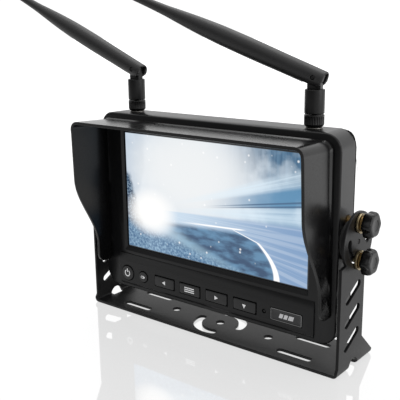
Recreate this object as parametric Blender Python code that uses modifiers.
"""Seven-inch wireless reversing monitor with a sun hood, two folding whip antennas and a perforated U-bracket.

Run with: blender --background --python part.py

Everything is in metres with +Z up. The viewer stands on the -Y side and looks along +Y. The origin is on
the underside of the bracket's base plate, on the centreline, 8 mm in front of the row of bolt holes.
"""

import math

import bmesh
import bpy
from mathutils import Matrix, Vector

GAP = 0.0003  # between two pieces that touch on the real object

# U-bracket, one folded steel sheet
BRACKET_WIDTH = 0.2084
SHEET = 0.0020
BEND_RADIUS = 0.0030
BASE_FRONT = -0.0144
BASE_REAR = 0.0323
BOLT_ROW_Y = 0.0080
BOLT_HOLE_X = 0.0405
BOLT_HOLE_RADIUS = 0.0031
SLOT_X = 0.0681
SLOT_ROW_OFFSET = 0.0122
SLOT_LENGTH = 0.0258
SLOT_WIDTH = 0.0050
TURN_SLOT_INNER = 0.0131
TURN_SLOT_OUTER = 0.0191
TURN_SLOT_FROM = math.radians(-10.0)
TURN_SLOT_TO = math.radians(118.0)
ARM_FRONT = -0.0129
ARM_REAR = 0.0174
ARM_SHOULDER_Z = 0.0700
ARM_SLOT_CENTRE = Vector((0.0029, 0.0508))
ARM_SLOT_PITCH = 0.0153
ARM_SLOT_LENGTH = 0.0205
ARM_SLOT_WIDTH = 0.0048
ARM_SLOT_RISE = math.radians(28.6)
FOOT_TOP_Z = 0.0175
DRAIN_NOTCH_Y = 0.0070
DRAIN_NOTCH_Z = 0.0005
DRAIN_NOTCH_RADIUS = 0.0058

# Tilt pivot and its clamp, the same on both sides
PIVOT_Y = 0.0074
PIVOT_Z = 0.0816
RING_RADIUS = 0.0186
TILT_SLOT_INNER = 0.0092
TILT_SLOT_OUTER = 0.0136
TILT_SLOT_FROM = math.radians(-17.0)
TILT_SLOT_TO = math.radians(125.0)
STUD_CIRCLE = 0.0114
STUD_RADIUS = 0.0020
PIP_RADIUS = 0.0012
PAD_RADIUS = 0.0126

# Housing
HOUSING_HALF = 0.0975  # at the rim; the side walls draw in towards the back
HOUSING_REAR_HALF = 0.0959
HOUSING_BOTTOM = 0.0155
HOUSING_TOP = 0.1468
HOUSING_CORNER = 0.0105
WALL = 0.0022
RIM_FRONT = -0.0057
FACE_WALL = 0.0021
BAND_REAR = 0.0152
FASCIA_HALF = 0.0830
FASCIA_BOTTOM = 0.0197
FASCIA_SLOPE_Z = 0.0365
FASCIA_TOP = 0.0424
FASCIA_FRONT = -0.0066
FASCIA_WALL = 0.0030
COVER_FRONT = 0.0161
COVER_REAR = 0.0300

# Screen
SCREEN_HALF_WIDTH = 0.0771
SCREEN_HALF_HEIGHT = 0.0430
SCREEN_Z = 0.0905
GLASS_FRONT = -0.0033

# Buttons on the fascia
BUTTON_ROW_Z = 0.0273
BUTTON_FRONT = -0.0074
POWER_X = -0.0752
POWER_RADIUS = 0.0056
SOURCE_X = -0.0596
SOURCE_RADIUS = 0.0040
KEY_FIRST_X = -0.0389
KEY_PITCH = 0.0234
KEY_HALF_WIDTH = 0.0089
KEY_HALF_HEIGHT = 0.0038
KEY_CLEARANCE = 0.0005
SENSOR_X = 0.0465
SENSOR_RADIUS = 0.0012
BADGE_X = 0.0632
BADGE_HALF_WIDTH = 0.0115
BADGE_HALF_HEIGHT = 0.0040

# Sun hood
HOOD_ROOT_Y = RIM_FRONT - GAP
HOOD_COLLAR_Y = -0.0088  # the collar on the housing is a little wider than the hood
HOOD_NECK_Y = -0.0094
HOOD_SHOULDER_Y = -0.0386
HOOD_FRONT_Y = -0.0398
HOOD_COLLAR_STEP = 0.0006
HOOD_TOP_HALF = 0.0926
HOOD_FOOT_HALF = 0.0945
HOOD_NECK_TOP = 0.1424
HOOD_RISE = 0.0012
HOOD_CORNER = 0.0060
HOOD_WALL = 0.0021
HOOD_BOTTOM = 0.0352
HOOD_LIP_Y = -0.0185
HOOD_CURVE_BOTTOM = 0.0490
HOOD_CURVE_TOP = 0.1020
HOOD_TIP_RADIUS = 0.0060

# Antennas
ANTENNA_X = 0.0724
ANTENNA_Y = 0.0063
NUT_BOTTOM = 0.1478
NUT_TOP = 0.1552
NUT_RADIUS = 0.0061
BARREL_BOTTOM = 0.1556
BARREL_TOP = 0.1702
BARREL_RADIUS = 0.00605
ELBOW_Z = 0.1771
TONGUE_RADIUS = 0.0043
TONGUE_THICKNESS = 0.0044
CLEVIS_END = 0.0064
BLADE_LENGTH = 0.1680
BLADE_RADII = (
    (-0.0064, 0.0056),
    (0.0200, 0.0058),
    (0.0450, 0.0061),
    (0.0650, 0.0060),
    (0.0820, 0.0054),
    (0.0980, 0.0044),
    (0.1120, 0.0034),
    (0.1260, 0.0029),
    (0.1480, 0.0025),
    (0.1640, 0.0022),
    (0.1680, 0.0012),
)
BLADE_FLATNESS = 0.92  # depth across the pin over height
ANTENNAS = {
    "left": (-ANTENNA_X, math.radians(180.0), math.radians(23.1)),
    "right": (ANTENNA_X, math.radians(188.0), math.radians(20.8)),
}

ROUND = 20  # sides of a small turned piece
COLOURS = {
    "bracket_coat": ((0.060, 0.062, 0.064), 0.45, 0.0),
    "housing_plastic": ((0.030, 0.031, 0.033), 0.40, 0.0),
    "hood_plastic": ((0.032, 0.033, 0.035), 0.42, 0.0),
    "gloss_black": ((0.012, 0.012, 0.013), 0.18, 0.0),
    "button_plastic": ((0.035, 0.036, 0.038), 0.38, 0.0),
    "screen_glass": ((0.55, 0.70, 0.85), 0.12, 0.0),
    "badge_metal": ((0.35, 0.35, 0.34), 0.30, 0.9),
    "steel": ((0.62, 0.58, 0.48), 0.28, 1.0),
    "brass": ((0.72, 0.55, 0.28), 0.30, 1.0),
    "antenna_rubber": ((0.040, 0.040, 0.041), 0.50, 0.0),
    "antenna_black": ((0.030, 0.030, 0.031), 0.42, 0.0),
    "rubber": ((0.020, 0.020, 0.020), 0.75, 0.0),
    "silicone": ((0.30, 0.31, 0.32), 0.60, 0.0),
    "board_green": ((0.02, 0.14, 0.06), 0.45, 0.0),
    "backlight": ((0.60, 0.61, 0.62), 0.50, 0.0),
    "tinplate": ((0.60, 0.61, 0.62), 0.30, 1.0),
    "coax_jacket": ((0.015, 0.015, 0.015), 0.55, 0.0),
}


# ---- scene, materials and small helpers ----


def clear_scene():
    for obj in list(bpy.data.objects):
        bpy.data.objects.remove(obj, do_unlink=True)


def new_collection(name):
    collection = bpy.data.collections.new(name)
    bpy.context.scene.collection.children.link(collection)
    return collection


def make_materials():
    made = {}
    for name, (colour, roughness, metallic) in COLOURS.items():
        material = bpy.data.materials.new(name)
        material.use_nodes = True
        shader = material.node_tree.nodes["Principled BSDF"]
        shader.inputs["Base Color"].default_value = (*colour, 1.0)
        shader.inputs["Roughness"].default_value = roughness
        shader.inputs["Metallic"].default_value = metallic
        made[name] = material
    return made


clear_scene()
PARTS = new_collection("reversing_monitor")
CUTTERS = new_collection("cutters")
MATERIALS = make_materials()


def add_part(name, mesh, material, matrix=None):
    """A visible sub-part: its mesh, its material and its place."""
    obj = bpy.data.objects.new(name, mesh)
    if matrix is not None:
        obj.matrix_world = matrix
    mesh.materials.clear()
    mesh.materials.append(MATERIALS[material])
    mesh.shade_smooth()
    mesh.set_sharp_from_angle(angle=math.radians(32.0))
    PARTS.objects.link(obj)
    return obj


def add_tool(name, mesh, matrix=None):
    """A hidden body that a Boolean cuts away or joins on."""
    obj = bpy.data.objects.new(name, mesh)
    if matrix is not None:
        obj.matrix_world = matrix
    obj.hide_render = True
    obj.display_type = "WIRE"
    CUTTERS.objects.link(obj)
    return obj


def boolean(obj, operation, tool):
    modifier = obj.modifiers.new(f"{operation.lower()} {tool.name}", "BOOLEAN")
    modifier.operation = operation
    modifier.object = tool
    modifier.solver = "EXACT"


def bevel(obj, width, segments=2, angle=40.0):
    modifier = obj.modifiers.new("edges", "BEVEL")
    modifier.width = width
    modifier.segments = segments
    modifier.limit_method = "ANGLE"
    modifier.angle_limit = math.radians(angle)
    modifier.harden_normals = False


def mesh_from(bm, name):
    """Closes a bmesh into a mesh with its faces turned outwards."""
    bmesh.ops.remove_doubles(bm, verts=bm.verts, dist=1e-6)
    bmesh.ops.recalc_face_normals(bm, faces=bm.faces)
    mesh = bpy.data.meshes.new(name)
    bm.to_mesh(mesh)
    bm.free()
    return mesh


def joined(name, meshes):
    """Several separate closed meshes as one, for a cutter with many teeth."""
    bm = bmesh.new()
    for mesh in meshes:
        bm.from_mesh(mesh)
        bpy.data.meshes.remove(mesh)
    return mesh_from(bm, name)


def box_mesh(name, low, high):
    bm = bmesh.new()
    size = Vector(high) - Vector(low)
    middle = (Vector(high) + Vector(low)) / 2
    bmesh.ops.create_cube(bm, size=1.0, matrix=Matrix.Translation(middle) @ Matrix.Diagonal((*size, 1.0)))
    return mesh_from(bm, name)


def rod_mesh(name, start, end, radius, end_radius=None, sides=ROUND):
    """A cylinder, or a cone, from one point to another."""
    bm = bmesh.new()
    start, end = Vector(start), Vector(end)
    along = end - start
    turn = along.to_track_quat("Z", "Y").to_matrix().to_4x4()
    bmesh.ops.create_cone(
        bm,
        cap_ends=True,
        segments=sides,
        radius1=radius,
        radius2=radius if end_radius is None else end_radius,
        depth=along.length,
        matrix=Matrix.Translation((start + end) / 2) @ turn,
    )
    return mesh_from(bm, name)


def slab_mesh(name, outlines, thickness, matrix):
    """A flat outline, with any holes as further outlines, given a thickness. It lies in its own XY plane."""
    curve = bpy.data.curves.new(name, "CURVE")
    curve.dimensions = "2D"
    curve.fill_mode = "BOTH"
    curve.extrude = thickness / 2
    for outline in outlines:
        spline = curve.splines.new("POLY")
        spline.points.add(len(outline) - 1)
        for point, (x, y) in zip(spline.points, outline):
            point.co = (x, y, 0.0, 1.0)
        spline.use_cyclic_u = True
    holder = bpy.data.objects.new(name, curve)
    bpy.context.scene.collection.objects.link(holder)
    graph = bpy.context.evaluated_depsgraph_get()
    mesh = bpy.data.meshes.new_from_object(holder.evaluated_get(graph))
    bpy.data.objects.remove(holder, do_unlink=True)
    bpy.data.curves.remove(curve)
    bm = bmesh.new()
    bm.from_mesh(mesh)
    bpy.data.meshes.remove(mesh)
    bm.transform(matrix)
    return mesh_from(bm, name)


def loft_mesh(name, rings):
    """A closed skin through rings of points that all have the same count, capped at both ends."""
    bm = bmesh.new()
    rows = [[bm.verts.new(point) for point in ring] for ring in rings]
    count = len(rows[0])
    for near, far in zip(rows, rows[1:]):
        for i in range(count):
            j = (i + 1) % count
            bm.faces.new((near[i], near[j], far[j], far[i]))
    bm.faces.new(rows[0])
    bm.faces.new(reversed(rows[-1]))
    return mesh_from(bm, name)


def turned_part(name, profile, material, matrix, sides=ROUND, closed=False):
    """A profile of (radius, height) points, running down its outer side, turned round its own Z axis."""
    mesh = bpy.data.meshes.new(name)
    points = [(radius, 0.0, height) for radius, height in profile]
    edges = [(i, i + 1) for i in range(len(points) - 1)]
    if closed:
        edges.append((len(points) - 1, 0))
    mesh.from_pydata(points, edges, [])
    obj = add_part(name, mesh, material, matrix)
    screw = obj.modifiers.new("turn", "SCREW")
    screw.steps = sides
    screw.render_steps = sides
    screw.use_merge_vertices = True
    screw.merge_threshold = 0.00001
    screw.use_smooth_shade = True
    return obj


def arc(centre_x, centre_y, radius, start, end, steps):
    """Points of an arc, both ends included."""
    points = []
    for i in range(steps + 1):
        angle = start + (end - start) * i / steps
        points.append((centre_x + radius * math.cos(angle), centre_y + radius * math.sin(angle)))
    return points


def circle(centre_x, centre_y, radius, steps=ROUND):
    return arc(centre_x, centre_y, radius, 0.0, 2 * math.pi, steps)[:-1]


def straight_slot(centre_x, centre_y, length, width, angle=0.0, steps=6):
    """A slot with round ends: two half circles, turned about its centre."""
    reach = (length - width) / 2
    points = arc(reach, 0.0, width / 2, -math.pi / 2, math.pi / 2, steps)
    points += arc(-reach, 0.0, width / 2, math.pi / 2, 1.5 * math.pi, steps)
    turn = Matrix.Rotation(angle, 2)
    return [tuple(turn @ Vector(point) + Vector((centre_x, centre_y))) for point in points]


def curved_slot(centre_x, centre_y, inner, outer, start, end, steps=10):
    """A slot bent round a centre, with round ends whose centres lie inside the two given angles."""
    middle = (inner + outer) / 2
    half = (outer - inner) / 2
    trim = half / middle
    start, end = start + trim, end - trim
    points = arc(centre_x, centre_y, outer, start, end, steps)
    tip_x = centre_x + middle * math.cos(end)
    tip_y = centre_y + middle * math.sin(end)
    points += arc(tip_x, tip_y, half, end, end + math.pi, 5)[1:-1]
    points += arc(centre_x, centre_y, inner, end, start, steps)
    tip_x = centre_x + middle * math.cos(start)
    tip_y = centre_y + middle * math.sin(start)
    points += arc(tip_x, tip_y, half, start + math.pi, start + 2 * math.pi, 5)[1:-1]
    return points


def rounded_rectangle(half_width, low, high, radius, steps=5):
    """Corner arcs of an upright rectangle centred on the Z axis, as (x, z) points."""
    quarter = math.pi / 2
    points = arc(half_width - radius, high - radius, radius, 0.0, quarter, steps)
    points += arc(radius - half_width, high - radius, radius, quarter, 2 * quarter, steps)
    points += arc(radius - half_width, low + radius, radius, 2 * quarter, 3 * quarter, steps)
    points += arc(half_width - radius, low + radius, radius, 3 * quarter, 4 * quarter, steps)
    return points


# Frames that carry a flat XY outline into the object
FACING_Z = Matrix.Identity(4)
# outline x -> world Y, outline y -> world Z, thickness along X
FACING_X = Matrix(((0, 0, 1, 0), (1, 0, 0, 0), (0, 1, 0, 0), (0, 0, 0, 1)))
# outline x -> world X, outline y -> world Z, thickness along -Y
FACING_Y = Matrix(((1, 0, 0, 0), (0, 0, -1, 0), (0, 1, 0, 0), (0, 0, 0, 1)))


def at_x(x):
    return Matrix.Translation((x, 0.0, 0.0)) @ FACING_X


def at_y(y):
    return Matrix.Translation((0.0, y, 0.0)) @ FACING_Y


def at_z(z):
    return Matrix.Translation((0.0, 0.0, z)) @ FACING_Z


def axis_along(direction, origin):
    """A frame whose own Z axis points along a direction."""
    turn = Vector(direction).to_track_quat("Z", "Y").to_matrix().to_4x4()
    return Matrix.Translation(origin) @ turn


def framed_loft(name, sections, shift=0.0, steps=5):
    """A loft of upright rounded rectangles. Each section is (y, half width, low z, high z, corner radius)."""
    rings = []
    for y, half, low, high, radius in sections:
        ring = rounded_rectangle(half, low, high, radius, steps)
        rings.append([(x + shift, y, z) for x, z in ring])
    return loft_mesh(name, rings)


# ---- the bracket ----


def bracket_profile():
    """The folded sheet seen from the front: a U with rounded bends, at constant thickness."""
    half = BRACKET_WIDTH / 2
    top = PIVOT_Z + RING_RADIUS + 0.005
    bend = BEND_RADIUS
    inner = BEND_RADIUS - SHEET
    quarter = math.pi / 2
    outer_line = [(half, top)]
    outer_line += arc(half - bend, bend, bend, 0.0, -quarter, 4)
    outer_line += arc(bend - half, bend, bend, -quarter, -2 * quarter, 4)
    outer_line += [(-half, top)]
    inner_line = [(SHEET - half, top)]
    inner_line += arc(bend - half, bend, inner, -2 * quarter, -quarter, 3)
    inner_line += arc(half - bend, bend, inner, -quarter, 0.0, 3)
    inner_line += [(half - SHEET, top)]
    return outer_line + inner_line


def arm_outline():
    """The sheet seen from the side: the full base at the bottom, a narrower arm and a round head."""
    foot_slope = 0.0035
    head = math.asin((ARM_SHOULDER_Z - PIVOT_Z) / RING_RADIUS)
    points = [(BASE_FRONT, -0.001), (BASE_REAR, -0.001), (BASE_REAR, foot_slope)]
    points += [(ARM_REAR, FOOT_TOP_Z), (ARM_REAR, PIVOT_Z - 0.0165)]
    points += arc(PIVOT_Y, PIVOT_Z, RING_RADIUS, -math.pi / 3.4, math.pi - head, 30)
    points += [(ARM_FRONT, ARM_SHOULDER_Z - 0.0012), (ARM_FRONT, 0.0060), (BASE_FRONT, 0.0035)]
    return points


def bracket_cutters():
    """Every hole in the sheet as one cutter."""
    half = BRACKET_WIDTH / 2
    base = []
    for x in (-BOLT_HOLE_X, 0.0, BOLT_HOLE_X):
        base.append(circle(x, BOLT_ROW_Y, BOLT_HOLE_RADIUS, 18))
    for x in (-SLOT_X, SLOT_X):
        for offset in (-SLOT_ROW_OFFSET, SLOT_ROW_OFFSET):
            base.append(straight_slot(x, BOLT_ROW_Y + offset, SLOT_LENGTH, SLOT_WIDTH))
    for turn in (0.0, math.pi):
        base.append(
            curved_slot(
                0.0, BOLT_ROW_Y, TURN_SLOT_INNER, TURN_SLOT_OUTER, TURN_SLOT_FROM + turn, TURN_SLOT_TO + turn
            )
        )
    meshes = [slab_mesh("base_hole", [outline], 0.02, at_z(0.0)) for outline in base]
    arms = []
    for row in range(3):
        z = ARM_SLOT_CENTRE.y - row * ARM_SLOT_PITCH
        arms.append(straight_slot(ARM_SLOT_CENTRE.x, z, ARM_SLOT_LENGTH, ARM_SLOT_WIDTH, ARM_SLOT_RISE))
    for turn in (0.0, math.pi):
        arms.append(
            curved_slot(
                PIVOT_Y, PIVOT_Z, TILT_SLOT_INNER, TILT_SLOT_OUTER, TILT_SLOT_FROM + turn, TILT_SLOT_TO + turn
            )
        )
    arms.append(circle(PIVOT_Y, PIVOT_Z, PIP_RADIUS + GAP, 12))
    for side in (-1, 1):
        for outline in arms:
            meshes.append(slab_mesh("arm_hole", [outline], 0.01, at_x(side * half)))
        notch = circle(DRAIN_NOTCH_Y, DRAIN_NOTCH_Z, DRAIN_NOTCH_RADIUS, 20)
        meshes.append(slab_mesh("drain_notch", [notch], 0.010, at_x(side * half)))
    return joined("bracket_holes", meshes)


def make_bracket():
    depth = 0.08
    sheet = slab_mesh("u_bracket", [bracket_profile()], depth, at_y(0.0))
    bracket = add_part("u_bracket", sheet, "bracket_coat")
    side = slab_mesh("arm_shape", [arm_outline()], BRACKET_WIDTH + 0.02, at_x(0.0))
    boolean(bracket, "INTERSECT", add_tool("arm_shape", side))
    boolean(bracket, "DIFFERENCE", add_tool("bracket_holes", bracket_cutters()))


# ---- the housing ----


def key_centres():
    return [KEY_FIRST_X + i * KEY_PITCH for i in range(4)]


def window_cutter():
    """The screen opening: straight at the glass, flared towards the viewer, deepest at its lower edge."""
    half, tall = SCREEN_HALF_WIDTH, SCREEN_HALF_HEIGHT
    flare = 0.0024
    front = FASCIA_FRONT - 0.001
    sections = [
        (0.0000, half, SCREEN_Z - tall, SCREEN_Z + tall, 0.0010),
        (GLASS_FRONT - 0.0004, half, SCREEN_Z - tall, SCREEN_Z + tall, 0.0010),
        (front, half + flare, FASCIA_TOP - 0.0005, SCREEN_Z + tall + flare, 0.0016),
    ]
    return framed_loft("window", sections, steps=2)


def fascia_holes():
    """Holes for the buttons, the light sensor and the pocket of the badge, as one cutter."""
    near, far = FASCIA_FRONT - 0.002, FASCIA_FRONT + FASCIA_WALL + 0.002
    meshes = [
        rod_mesh("hole", (POWER_X, near, BUTTON_ROW_Z), (POWER_X, far, BUTTON_ROW_Z), POWER_RADIUS + KEY_CLEARANCE),
        rod_mesh("hole", (SOURCE_X, near, BUTTON_ROW_Z), (SOURCE_X, far, BUTTON_ROW_Z), SOURCE_RADIUS + KEY_CLEARANCE),
        rod_mesh("hole", (SENSOR_X, near, BUTTON_ROW_Z), (SENSOR_X, far, BUTTON_ROW_Z), SENSOR_RADIUS + GAP, sides=12),
    ]
    for x in key_centres():
        low = (x - KEY_HALF_WIDTH - KEY_CLEARANCE, near, BUTTON_ROW_Z - KEY_HALF_HEIGHT - KEY_CLEARANCE)
        high = (x + KEY_HALF_WIDTH + KEY_CLEARANCE, far, BUTTON_ROW_Z + KEY_HALF_HEIGHT + KEY_CLEARANCE)
        meshes.append(box_mesh("hole", low, high))
    pocket_depth = 0.0009
    low = (BADGE_X - BADGE_HALF_WIDTH - GAP, near, BUTTON_ROW_Z - BADGE_HALF_HEIGHT - GAP)
    high = (BADGE_X + BADGE_HALF_WIDTH + GAP, FASCIA_FRONT + pocket_depth, BUTTON_ROW_Z + BADGE_HALF_HEIGHT + GAP)
    meshes.append(box_mesh("hole", low, high))
    return joined("fascia_holes", meshes)


COVER_SCREW_X = 0.0882
COVER_SCREW_Z = (0.0360, 0.1310)
POST_RADIUS = 0.0034
INSERT_RADIUS = 0.0035
INSERT_DEPTH = 0.0085


def stud_centres():
    """(name, side, z) of the four clamp studs."""
    places = []
    for side_name, side in (("left", -1), ("right", 1)):
        places.append((f"upper_{side_name}", side, PIVOT_Z + STUD_CIRCLE))
        places.append((f"lower_{side_name}", side, PIVOT_Z - STUD_CIRCLE))
    return places


def make_front_shell():
    low, high = HOUSING_BOTTOM, HOUSING_TOP
    round_over = 0.0011
    band = framed_loft(
        "front_shell",
        [
            (RIM_FRONT, HOUSING_HALF - round_over, low + round_over, high - round_over, HOUSING_CORNER - round_over),
            (RIM_FRONT + 0.0003, HOUSING_HALF - 0.0004, low + 0.0004, high - 0.0004, HOUSING_CORNER - 0.0004),
            (RIM_FRONT + round_over, HOUSING_HALF, low, high, HOUSING_CORNER),
            (BAND_REAR, HOUSING_REAR_HALF, low, high, HOUSING_CORNER),
        ],
    )
    shell = add_part("front_shell", band, "housing_plastic")
    behind = RIM_FRONT + 0.0015
    fascia = [
        (behind, low + 0.0004),
        (RIM_FRONT + 0.0004, low + 0.0004),
        (FASCIA_FRONT + 0.0003, FASCIA_BOTTOM - 0.0003),
        (FASCIA_FRONT, FASCIA_BOTTOM),
        (FASCIA_FRONT, FASCIA_SLOPE_Z),
        (FASCIA_FRONT + 0.0005, FASCIA_TOP),
        (behind, FASCIA_TOP),
    ]
    boolean(shell, "UNION", add_tool("fascia_block", slab_mesh("fascia_block", [fascia], 2 * FASCIA_HALF, at_x(0.0))))

    hollow = [
        (RIM_FRONT + FACE_WALL, HOUSING_HALF - WALL, low + WALL, high - WALL, HOUSING_CORNER - WALL),
        (BAND_REAR + 0.01, HOUSING_REAR_HALF - WALL - 0.0008, low + WALL, high - WALL, HOUSING_CORNER - WALL),
    ]
    boolean(shell, "DIFFERENCE", add_tool("band_hollow", framed_loft("band_hollow", hollow)))
    boolean(shell, "DIFFERENCE", add_tool("window", window_cutter()))
    boolean(shell, "DIFFERENCE", add_tool("fascia_holes", fascia_holes()))

    bosses = []
    for side in (-1, 1):
        x = sorted((side * (HOUSING_HALF - WALL - INSERT_DEPTH + 0.0015), side * (HOUSING_REAR_HALF - 0.0008)))
        reach = STUD_CIRCLE + 0.0052
        bosses.append(box_mesh("boss", (x[0], 0.0013, PIVOT_Z - reach), (x[1], 0.0135, PIVOT_Z + reach)))
        for z in COVER_SCREW_Z:
            x = side * COVER_SCREW_X
            bosses.append(rod_mesh("post", (x, RIM_FRONT + 0.001, z), (x, BAND_REAR - GAP, z), POST_RADIUS, sides=16))
    boolean(shell, "UNION", add_tool("shell_bosses", joined("shell_bosses", bosses)))

    holes = []
    for x in (-ANTENNA_X, ANTENNA_X):
        holes.append(
            rod_mesh("hole", (x, ANTENNA_Y, HOUSING_TOP - 0.006), (x, ANTENNA_Y, HOUSING_TOP + 0.004), 0.0035)
        )
    for _, side, z in stud_centres():
        inside = side * (HOUSING_HALF - 0.020)
        holes.append(
            rod_mesh("hole", (inside, PIVOT_Y, z), (side * (HOUSING_HALF + 0.004), PIVOT_Y, z), INSERT_RADIUS + GAP)
        )
    for side in (-1, 1):
        for z in COVER_SCREW_Z:
            x = side * COVER_SCREW_X
            holes.append(rod_mesh("hole", (x, 0.0060, z), (x, BAND_REAR + 0.004, z), 0.0018, sides=12))
    boolean(shell, "DIFFERENCE", add_tool("shell_holes", joined("shell_holes", holes)))


def cover_sections(inset, front, rear_drop):
    """The rear cover's outer form, or its hollow when it is inset by the wall."""
    steps = ((0.0, 0.0), (0.0010, 0.0005), (0.0080, 0.0052), (0.0122, 0.0082), (0.0139 - rear_drop, 0.0100))
    sections = []
    for depth, taper in steps:
        gone = inset + taper
        sections.append(
            (
                front + depth,
                HOUSING_REAR_HALF - gone,
                HOUSING_BOTTOM + gone,
                HOUSING_TOP - gone,
                max(HOUSING_CORNER - inset, 0.004) + taper * 0.3,
            )
        )
    return sections


GLAND_X = -0.0360
GLAND_Z = 0.0420
SPEAKER_X = 0.0340
SPEAKER_Z = 0.0800


def screw_well(x, z):
    """A clearance hole that widens into a counterbore for the screw's head."""
    steps = (
        (COVER_FRONT - 0.004, 0.0018),
        (COVER_FRONT + 0.0032, 0.0018),
        (COVER_FRONT + 0.0032, 0.0034),
        (COVER_REAR + 0.01, 0.0034),
    )
    rings = [[(x + px, y, z + pz) for px, pz in circle(0.0, 0.0, radius, 16)] for y, radius in steps]
    return loft_mesh("hole", rings)


def make_rear_cover():
    cover = add_part("rear_cover", framed_loft("rear_cover", cover_sections(0.0, COVER_FRONT, 0.0)), "housing_plastic")
    hollow = cover_sections(WALL, COVER_FRONT, WALL)
    hollow[0] = (COVER_FRONT - 0.004, *hollow[0][1:])
    hollow[3] = (hollow[3][0] - WALL * 0.6, *hollow[3][1:])
    boolean(cover, "DIFFERENCE", add_tool("cover_hollow", framed_loft("cover_hollow", hollow)))
    bosses = []
    for side in (-1, 1):
        for z in COVER_SCREW_Z:
            x = side * COVER_SCREW_X
            bosses.append(rod_mesh("boss", (x, COVER_FRONT, z), (x, COVER_FRONT + 0.0052, z), 0.0046, sides=16))
        for z in (0.0580, 0.1180):
            bosses.append(
                rod_mesh("standoff", (side * 0.054, 0.0121, z), (side * 0.054, COVER_REAR - 0.001, z), 0.0026, sides=12)
            )
    boolean(cover, "UNION", add_tool("cover_bosses", joined("cover_bosses", bosses)))
    holes = []
    for side in (-1, 1):
        for z in COVER_SCREW_Z:
            x = side * COVER_SCREW_X
            holes.append(screw_well(x, z))
    holes.append(
        rod_mesh("hole", (GLAND_X, COVER_REAR - 0.006, GLAND_Z), (GLAND_X, COVER_REAR + 0.004, GLAND_Z), 0.0053)
    )
    for row in range(-2, 3):
        reach = 0.026 - 0.004 * abs(row)
        outline = straight_slot(SPEAKER_X, SPEAKER_Z + row * 0.0052, reach, 0.0018, steps=4)
        holes.append(slab_mesh("grille", [outline], 0.010, at_y(COVER_REAR)))
    boolean(cover, "DIFFERENCE", add_tool("cover_holes", joined("cover_holes", holes)))

    outer = rounded_rectangle(HOUSING_REAR_HALF - 0.0006, HOUSING_BOTTOM + 0.0006, HOUSING_TOP - 0.0006, 0.0069)
    inner = rounded_rectangle(HOUSING_REAR_HALF - 0.0018, HOUSING_BOTTOM + 0.0018, HOUSING_TOP - 0.0018, 0.0057)
    seam = (BAND_REAR + COVER_FRONT) / 2
    ring = slab_mesh("housing_gasket", [outer, inner], COVER_FRONT - BAND_REAR - 2 * GAP, at_y(seam))
    add_part("housing_gasket", ring, "rubber")


def make_cover_screws():
    number = 0
    for side in (-1, 1):
        for z in COVER_SCREW_Z:
            number += 1
            seat = COVER_FRONT + 0.0032 + GAP
            profile = [
                (0.0, 0.0016),
                (0.0022, 0.0016),
                (0.0029, 0.0008),
                (0.0029, 0.0),
                (0.0014, 0.0),
                (0.0014, -0.0120),
                (0.0, -0.0128),
            ]
            frame = axis_along((0.0, 1.0, 0.0), (side * COVER_SCREW_X, seat, z))
            turned_part(f"cover_screw_{number}", profile, "steel", frame, sides=14)


def make_screen():
    glass = box_mesh("lcd_panel", (-0.0808, GLASS_FRONT, 0.0422), (0.0808, GLASS_FRONT + 0.0014, 0.1372))
    add_part("lcd_panel", glass, "screen_glass")
    behind = GLASS_FRONT + 0.0014 + GAP
    light = box_mesh("backlight_unit", (-0.0808, behind, 0.0422), (0.0808, behind + 0.0026, 0.1372))
    bevel(add_part("backlight_unit", light, "backlight"), 0.0005, 1)


def make_electronics():
    board_front = 0.0102
    board = box_mesh("main_board", (-0.060, board_front, 0.0520), (0.060, board_front + 0.0016, 0.1240))
    part = add_part("main_board", board, "board_green")
    chips = [
        box_mesh("chip", (-0.040, board_front - 0.0012, 0.0800), (-0.026, board_front + 0.0004, 0.0940)),
        box_mesh("chip", (0.006, board_front - 0.0010, 0.0700), (0.018, board_front + 0.0004, 0.0820)),
        box_mesh("socket", (-0.046, board_front - 0.0040, 0.0540), (-0.026, board_front + 0.0004, 0.0600)),
    ]
    boolean(part, "UNION", add_tool("board_chips", joined("board_chips", chips)))
    shield_front = board_front + 0.0016 + GAP
    shield = box_mesh("receiver_shield", (-0.0190, shield_front, 0.0930), (0.0190, shield_front + 0.0030, 0.1190))
    bevel(add_part("receiver_shield", shield, "tinplate"), 0.0005, 1)

    membrane = box_mesh("keypad_membrane", (-0.0785, -0.0020, 0.0222), (0.0425, -0.0009, 0.0350))
    add_part("keypad_membrane", membrane, "silicone")
    small_board = box_mesh("button_board", (-0.0785, -0.0006, 0.0222), (0.0500, 0.0009, 0.0350))
    add_part("button_board", small_board, "board_green")

    speaker = [
        (0.0, 0.0030),
        (0.0136, 0.0030),
        (0.0140, 0.0026),
        (0.0140, 0.0012),
        (0.0080, 0.0012),
        (0.0080, -0.0030),
        (0.0, -0.0030),
    ]
    frame = axis_along((0.0, 1.0, 0.0), (SPEAKER_X, COVER_REAR - WALL - 0.0034, SPEAKER_Z))
    turned_part("speaker", speaker, "rubber", frame)


def make_gland():
    """The moulded inlet of the power and video lead, with its bore open."""
    profile = [
        (0.0034, 0.0110),
        (0.0040, 0.0108),
        (0.0056, 0.0016),
        (0.0078, 0.0012),
        (0.0078, 0.0),
        (0.0049, 0.0),
        (0.0049, -0.0040),
        (0.0026, -0.0040),
        (0.0026, 0.0110),
    ]
    frame = axis_along((0.0, 1.0, 0.0), (GLAND_X, COVER_REAR + GAP, GLAND_Z))
    turned_part("cable_gland", profile, "rubber", frame, sides=16, closed=True)


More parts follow.
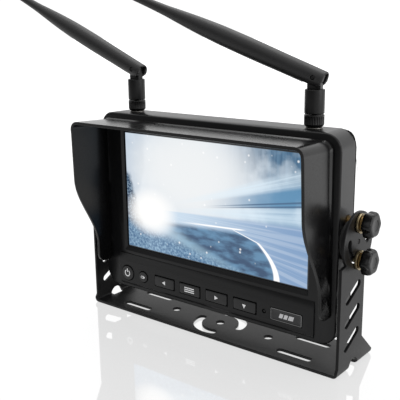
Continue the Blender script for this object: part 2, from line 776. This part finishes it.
def make_buttons():
    flange_front = FASCIA_FRONT + FASCIA_WALL + GAP
    flange_back = flange_front + 0.0007
    for name, x, radius in (("button_power", POWER_X, POWER_RADIUS), ("button_source", SOURCE_X, SOURCE_RADIUS)):
        depth = flange_back - BUTTON_FRONT
        profile = [
            (0.0, depth),
            (radius - 0.0006, depth),
            (radius, depth - 0.0005),
            (radius, flange_back - flange_front),
            (radius + 0.0007, flange_back - flange_front),
            (radius + 0.0007, 0.0),
            (0.0, 0.0),
        ]
        frame = axis_along((0.0, -1.0, 0.0), (x, flange_back, BUTTON_ROW_Z))
        turned_part(name, profile, "button_plastic", frame, sides=24)
    for name, x in zip(("button_left", "button_menu", "button_right", "button_down"), key_centres()):
        low, high = BUTTON_ROW_Z - KEY_HALF_HEIGHT, BUTTON_ROW_Z + KEY_HALF_HEIGHT
        edge = 0.0005
        brim = 0.0009
        sections = [
            (BUTTON_FRONT, KEY_HALF_WIDTH - edge, low + edge, high - edge, 0.0006),
            (BUTTON_FRONT + edge, KEY_HALF_WIDTH, low, high, 0.0009),
            (flange_front, KEY_HALF_WIDTH, low, high, 0.0009),
            (flange_front, KEY_HALF_WIDTH + brim, low - brim, high + brim, 0.0012),
            (flange_back, KEY_HALF_WIDTH + brim, low - brim, high + brim, 0.0012),
        ]
        add_part(name, framed_loft(name, sections, x, 2), "button_plastic")


def make_fascia_trim():
    plate = framed_loft(
        "badge_plate",
        [
            (FASCIA_FRONT - 0.0003, BADGE_HALF_WIDTH - 0.0003, BUTTON_ROW_Z - 0.0037, BUTTON_ROW_Z + 0.0037, 0.0004),
            (FASCIA_FRONT, BADGE_HALF_WIDTH, BUTTON_ROW_Z - 0.0040, BUTTON_ROW_Z + 0.0040, 0.0006),
            (FASCIA_FRONT + 0.0006, BADGE_HALF_WIDTH, BUTTON_ROW_Z - 0.0040, BUTTON_ROW_Z + 0.0040, 0.0006),
        ],
        BADGE_X,
        2,
    )
    add_part("badge_plate", plate, "badge_metal")
    lens = [(0.0, 0.0022), (0.0010, 0.0021), (SENSOR_RADIUS, 0.0017), (SENSOR_RADIUS, 0.0), (0.0, 0.0)]
    frame = axis_along((0.0, -1.0, 0.0), (SENSOR_X, FASCIA_FRONT + 0.0024, BUTTON_ROW_Z))
    turned_part("light_sensor", lens, "gloss_black", frame, sides=12)


# ---- the sun hood ----


def hood_frame(y):
    """(half width at the roof, half width at the foot, height of the roof) of the outer face at one depth."""
    share = min(max((HOOD_NECK_Y - y) / (HOOD_NECK_Y - HOOD_FRONT_Y), 0.0), 1.2)
    step = HOOD_COLLAR_STEP if y > HOOD_NECK_Y + 0.0001 else 0.0
    splay = 0.0004 * share
    return HOOD_TOP_HALF + splay + step, HOOD_FOOT_HALF + splay, HOOD_NECK_TOP + HOOD_RISE * share + step


def hood_edge(z):
    """Depth of the wing's front edge at a height: shallow lip, smooth S, then a slight lean to the roof."""
    share = (z - HOOD_CURVE_BOTTOM) / (HOOD_CURVE_TOP - HOOD_CURVE_BOTTOM)
    share = min(max(share, 0.0), 1.0)
    blend = share * share * (3.0 - 2.0 * share)
    return HOOD_LIP_Y + (HOOD_SHOULDER_Y - HOOD_LIP_Y) * blend


def hood_section(y):
    """The U of the hood at one depth, from the foot of the left wing to the foot of the right one."""
    half, foot, top = hood_frame(y)
    quarter = math.pi / 2
    centre_x, centre_z = half - HOOD_CORNER, top - HOOD_CORNER
    points = [(-foot, HOOD_BOTTOM), (-(foot + half) / 2, (HOOD_BOTTOM + centre_z) / 2)]
    points += arc(-centre_x, centre_z, HOOD_CORNER, 2 * quarter, quarter, 5)
    points += arc(centre_x, centre_z, HOOD_CORNER, quarter, 0.0, 5)
    points += [((foot + half) / 2, (HOOD_BOTTOM + centre_z) / 2), (foot, HOOD_BOTTOM)]
    return [(x, y, z) for x, z in points]


def hood_cutter():
    """Everything in front of the wing's edge, seen from the side."""
    ahead, under = HOOD_FRONT_Y - 0.02, HOOD_BOTTOM - 0.01
    top = HOOD_NECK_TOP + 0.02
    points = [(ahead, top), (ahead, under), (HOOD_LIP_Y + HOOD_TIP_RADIUS, under)]
    points += arc(
        HOOD_LIP_Y + HOOD_TIP_RADIUS, HOOD_BOTTOM + HOOD_TIP_RADIUS, HOOD_TIP_RADIUS, -math.pi / 2, -math.pi, 6
    )
    steps = 14
    for i in range(steps + 1):
        z = HOOD_CURVE_BOTTOM + (HOOD_CURVE_TOP - HOOD_CURVE_BOTTOM) * i / steps
        points.append((hood_edge(z), z))
    points.append((HOOD_FRONT_Y, HOOD_NECK_TOP))
    points.append((HOOD_FRONT_Y, top))
    return slab_mesh("hood_cut", [points], 0.30, at_x(0.0))


def make_hood():
    bm = bmesh.new()
    reach = HOOD_NECK_Y - HOOD_FRONT_Y + 0.002
    depths = [HOOD_ROOT_Y, HOOD_COLLAR_Y] + [HOOD_NECK_Y - reach * i / 4 for i in range(5)]
    rows = [[bm.verts.new(point) for point in hood_section(y)] for y in depths]
    for near, far in zip(rows, rows[1:]):
        for i in range(len(near) - 1):
            bm.faces.new((near[i], far[i], far[i + 1], near[i + 1]))
    mesh = bpy.data.meshes.new("sun_hood")
    bm.to_mesh(mesh)
    bm.free()
    hood = add_part("sun_hood", mesh, "hood_plastic")
    wall = hood.modifiers.new("wall", "SOLIDIFY")
    wall.thickness = HOOD_WALL
    wall.offset = -1.0
    wall.use_even_offset = True
    boolean(hood, "DIFFERENCE", add_tool("hood_cut", hood_cutter()))


# ---- the tilt clamp ----


def make_pads():
    """Friction discs between the housing and the arms, each with a pip that centres it in the arm."""
    inner, outer = HOUSING_HALF + GAP, BRACKET_WIDTH / 2 - SHEET - GAP
    for name, side in (("left", -1), ("right", 1)):
        length = outer - inner
        pip = length + SHEET
        profile = [
            (0.0, pip),
            (PIP_RADIUS, pip),
            (PIP_RADIUS, length),
            (PAD_RADIUS - 0.0008, length),
            (PAD_RADIUS, length - 0.0008),
            (PAD_RADIUS, 0.0),
            (0.0, 0.0),
        ]
        frame = axis_along((side, 0.0, 0.0), (side * inner, PIVOT_Y, PIVOT_Z))
        pad = turned_part(f"friction_pad_{name}", profile, "rubber", frame, sides=32)
        holes = []
        for z in (PIVOT_Z - STUD_CIRCLE, PIVOT_Z + STUD_CIRCLE):
            start, end = (side * (inner - 0.004), PIVOT_Y, z), (side * (outer + 0.004), PIVOT_Y, z)
            holes.append(rod_mesh("hole", start, end, STUD_RADIUS + 0.0004, sides=16))
        boolean(pad, "DIFFERENCE", add_tool(f"pad_holes_{name}", joined(f"pad_holes_{name}", holes)))


KNOB_LOBES = 6
KNOB_HUB_X = 0.0040
KNOB_BODY_X = 0.0066
KNOB_FACE_X = 0.0105


def knob_ring(x, radius, steps=36):
    """One section of the knob: a circle pressed in between its lobes."""
    points = []
    for i in range(steps):
        angle = 2 * math.pi * i / steps
        reach = radius * (1.0 - 0.085 * (1.0 - math.cos(KNOB_LOBES * angle)))
        points.append((reach * math.cos(angle), reach * math.sin(angle), x))
    return points


def knob_mesh():
    """Hub, lobed body and domed face as one loft along its own Z, which starts at the arm's outer face."""
    hub = 0.0046
    rings = []
    for x in (KNOB_HUB_X, KNOB_BODY_X):
        rings.append([(p[0] * hub / math.hypot(*p[:2]), p[1] * hub / math.hypot(*p[:2]), x) for p in knob_ring(x, 1.0)])
    for x, radius in (
        (KNOB_BODY_X, 0.0078),
        (KNOB_BODY_X + 0.0006, 0.0083),
        (KNOB_FACE_X - 0.0008, 0.0075),
        (KNOB_FACE_X, 0.0064),
    ):
        rings.append(knob_ring(x, radius))
    return loft_mesh("knob", rings)


def make_clamps():
    """Per stud: threaded insert, flat washer, spring washer, stud and knob."""
    face = BRACKET_WIDTH / 2
    bore = STUD_RADIUS + GAP
    knob = knob_mesh()
    for name, side, z in stud_centres():
        out = (side, 0.0, 0.0)
        frame = axis_along(out, (side * face, PIVOT_Y, z))
        back = HOUSING_HALF - INSERT_DEPTH - face
        lip = HOUSING_HALF - 0.0001 - face
        ring = [(INSERT_RADIUS, lip), (INSERT_RADIUS, back), (bore, back), (bore, lip)]
        turned_part(f"threaded_insert_{name}", ring, "brass", frame, sides=16, closed=True)
        washer = [(0.0060, GAP + 0.0016), (0.0060, GAP), (bore, GAP), (bore, GAP + 0.0016)]
        turned_part(f"flat_washer_{name}", washer, "steel", frame, closed=True)
        near, far = 2 * GAP + 0.0016, KNOB_HUB_X - GAP
        spring = [(0.0049, far), (0.0049, near), (bore, near), (bore, far)]
        turned_part(f"spring_washer_{name}", spring, "brass", frame, closed=True)
        stud = [
            (0.0, 0.0088),
            (STUD_RADIUS, 0.0088),
            (STUD_RADIUS, back + 0.0010),
            (STUD_RADIUS - 0.0005, back + 0.0005),
            (0.0, back + 0.0005),
        ]
        turned_part(f"knob_stud_{name}", stud, "steel", frame, sides=16)
        part = add_part(f"knob_{name}", knob.copy(), "gloss_black", frame)
        start, end = Vector((side * (face + 0.001), PIVOT_Y, z)), Vector((side * (face + 0.0091), PIVOT_Y, z))
        hole = rod_mesh(f"knob_bore_{name}", start, end, bore, sides=16)
        boolean(part, "DIFFERENCE", add_tool(f"knob_bore_{name}", hole))
    bpy.data.meshes.remove(knob)


# ---- the antennas ----


def elbow_frame(x, azimuth, rise):
    """Frame at the elbow: own X along the blade, own Y along the pin, own Z over the blade's back."""
    flat = Vector((math.cos(azimuth), math.sin(azimuth), 0.0))
    up = Vector((0.0, 0.0, 1.0))
    along = flat * math.cos(rise) + up * math.sin(rise)
    over = up * math.cos(rise) - flat * math.sin(rise)
    pin = over.cross(along)
    frame = Matrix((along, pin, over)).transposed().to_4x4()
    return Matrix.Translation((x, ANTENNA_Y, ELBOW_Z)) @ frame


def blade_mesh():
    """The whip's moulded cover, lofted along its own X through ellipses."""
    sides = 18
    rings = []
    for s, radius in BLADE_RADII:
        ring = []
        for i in range(sides):
            angle = 2 * math.pi * i / sides
            ring.append((s, BLADE_FLATNESS * radius * math.cos(angle), radius * math.sin(angle)))
        rings.append(ring)
    return loft_mesh("blade", rings)


def clevis_cutter(name, frame):
    """The clevis slot, open at the end and underneath, the rounded heel and the pin hole."""
    slot_half = TONGUE_THICKNESS / 2 + GAP
    slot = box_mesh("slot", (-0.02, -slot_half, -0.02), (0.0062, slot_half, TONGUE_RADIUS + 0.0003))
    heel = [(-0.0002, -0.02), (-0.02, -0.02), (-0.02, -0.0004)]
    heel += arc(0.0, 0.0, CLEVIS_END - 0.0001, math.pi + 0.07, 1.5 * math.pi - 0.02, 8)
    stand = Matrix(((1, 0, 0, 0), (0, 0, 1, 0), (0, 1, 0, 0), (0, 0, 0, 1)))
    heel_mesh = slab_mesh("heel", [heel], 0.03, stand)
    slot_tool = add_tool(f"{name}_slot", slot, frame)
    heel_tool = add_tool(f"{name}_heel", heel_mesh, frame)
    hole = rod_mesh("pin_hole", (0.0, -0.02, 0.0), (0.0, 0.02, 0.0), 0.00145, sides=12)
    hole_tool = add_tool(f"{name}_pin_hole", hole, frame)
    return slot_tool, heel_tool, hole_tool


def barrel_profile():
    """The barrel with its stem, from the top down."""
    radius, chamfer, stem = BARREL_RADIUS, 0.0005, 0.0017
    return [
        (0.0, BARREL_TOP),
        (radius - chamfer, BARREL_TOP),
        (radius, BARREL_TOP - chamfer),
        (radius, BARREL_BOTTOM + chamfer),
        (radius - chamfer, BARREL_BOTTOM),
        (stem, BARREL_BOTTOM),
        (stem, 0.1502),
        (0.0, 0.1502),
    ]


def make_antenna(name, x, azimuth, rise):
    foot = Matrix.Translation((x, ANTENNA_Y, 0.0))
    jack = [
        (0.0, 0.1494),
        (0.0021, 0.1494),
        (0.0021, 0.1528),
        (0.0031, 0.1528),
        (0.0031, HOUSING_TOP + 0.0007),
        (0.0053, HOUSING_TOP + 0.0007),
        (0.0053, HOUSING_TOP + GAP),
        (0.0031, HOUSING_TOP + GAP),
        (0.0031, 0.1366),
        (0.0, 0.1366),
    ]
    turned_part(f"antenna_jack_{name}", jack, "steel", foot, sides=16)
    nut = [
        (NUT_RADIUS - 0.0005, NUT_TOP),
        (NUT_RADIUS, NUT_TOP - 0.0005),
        (NUT_RADIUS, NUT_BOTTOM + 0.0014),
        (NUT_RADIUS - 0.0013, NUT_BOTTOM),
        (0.0035, NUT_BOTTOM),
        (0.0035, 0.1534),
        (0.0021, 0.1534),
        (0.0021, NUT_TOP),
    ]
    turned_part(f"antenna_nut_{name}", nut, "antenna_black", foot, sides=24, closed=True)

    barrel = turned_part(f"antenna_barrel_{name}", barrel_profile(), "antenna_black", foot, sides=24)
    turn = Matrix.Translation((x, ANTENNA_Y, ELBOW_Z)) @ Matrix.Rotation(azimuth, 4, "Z")
    stand = turn @ Matrix(((1, 0, 0, 0), (0, 0, -1, 0), (0, 1, 0, 0), (0, 0, 0, 1)))
    root = BARREL_TOP - ELBOW_Z - 0.001
    tongue = [(-TONGUE_RADIUS, root), (TONGUE_RADIUS, root)]
    tongue += arc(0.0, 0.0, TONGUE_RADIUS, 0.0, math.pi, 12)
    boolean(
        barrel,
        "UNION",
        add_tool(f"tongue_{name}", slab_mesh("tongue", [tongue], TONGUE_THICKNESS, Matrix.Identity(4)), stand),
    )
    eye = rod_mesh("eye", (0.0, 0.0, -0.02), (0.0, 0.0, 0.02), 0.0016, sides=12)
    boolean(barrel, "DIFFERENCE", add_tool(f"tongue_eye_{name}", eye, stand))

    frame = elbow_frame(x, azimuth, rise)
    blade = add_part(f"antenna_blade_{name}", blade_mesh(), "antenna_rubber", frame)
    for tool in clevis_cutter(f"blade_{name}", frame):
        boolean(blade, "DIFFERENCE", tool)
    half = BLADE_FLATNESS * 0.0056
    pin = rod_mesh(f"elbow_pin_{name}", (0.0, -half, 0.0), (0.0, half, 0.0), 0.0011, sides=12)
    add_part(f"elbow_pin_{name}", pin, "steel", frame)


def make_lead(name, side):
    """Thin coaxial lead from the jack's tail over the top of the main board to the receiver."""
    stops = [
        Vector((side * ANTENNA_X, ANTENNA_Y, 0.1362)),
        Vector((side * ANTENNA_X, ANTENNA_Y, 0.1330)),
        Vector((side * 0.0690, ANTENNA_Y + 0.0004, 0.1290)),
        Vector((side * 0.0600, 0.0085, 0.1275)),
        Vector((side * 0.0480, 0.0110, 0.1282)),
        Vector((side * 0.0330, 0.0145, 0.1285)),
        Vector((side * 0.0200, 0.0180, 0.1250)),
        Vector((side * 0.0130, 0.0180, 0.1180)),
        Vector((side * 0.0120, 0.0163, 0.1140)),
    ]
    points = []
    for i in range(len(stops) - 1):
        before = stops[max(i - 1, 0)]
        after = stops[min(i + 2, len(stops) - 1)]
        for step in range(3):
            t = step / 3
            start, end = stops[i], stops[i + 1]
            leave, arrive = (end - before) / 2, (after - start) / 2
            points.append(
                start * (2 * t**3 - 3 * t**2 + 1)
                + leave * (t**3 - 2 * t**2 + t)
                + end * (3 * t**2 - 2 * t**3)
                + arrive * (t**3 - t**2)
            )
    points.append(stops[-1])
    curve = bpy.data.curves.new(f"antenna_lead_{name}", "CURVE")
    curve.dimensions = "3D"
    curve.bevel_depth = 0.0007
    curve.bevel_resolution = 1
    curve.use_fill_caps = True
    spline = curve.splines.new("POLY")
    spline.points.add(len(points) - 1)
    for target, point in zip(spline.points, points):
        target.co = (*point, 1.0)
    curve.materials.append(MATERIALS["coax_jacket"])
    PARTS.objects.link(bpy.data.objects.new(f"antenna_lead_{name}", curve))


def main():
    make_bracket()
    make_front_shell()
    make_rear_cover()
    make_cover_screws()
    make_screen()
    make_electronics()
    make_gland()
    make_buttons()
    make_fascia_trim()
    make_hood()
    make_pads()
    make_clamps()
    for name, (x, azimuth, rise) in ANTENNAS.items():
        make_antenna(name, x, azimuth, rise)
    for name, side in (("left", -1), ("right", 1)):
        make_lead(name, side)
    bpy.context.view_layer.update()


main()
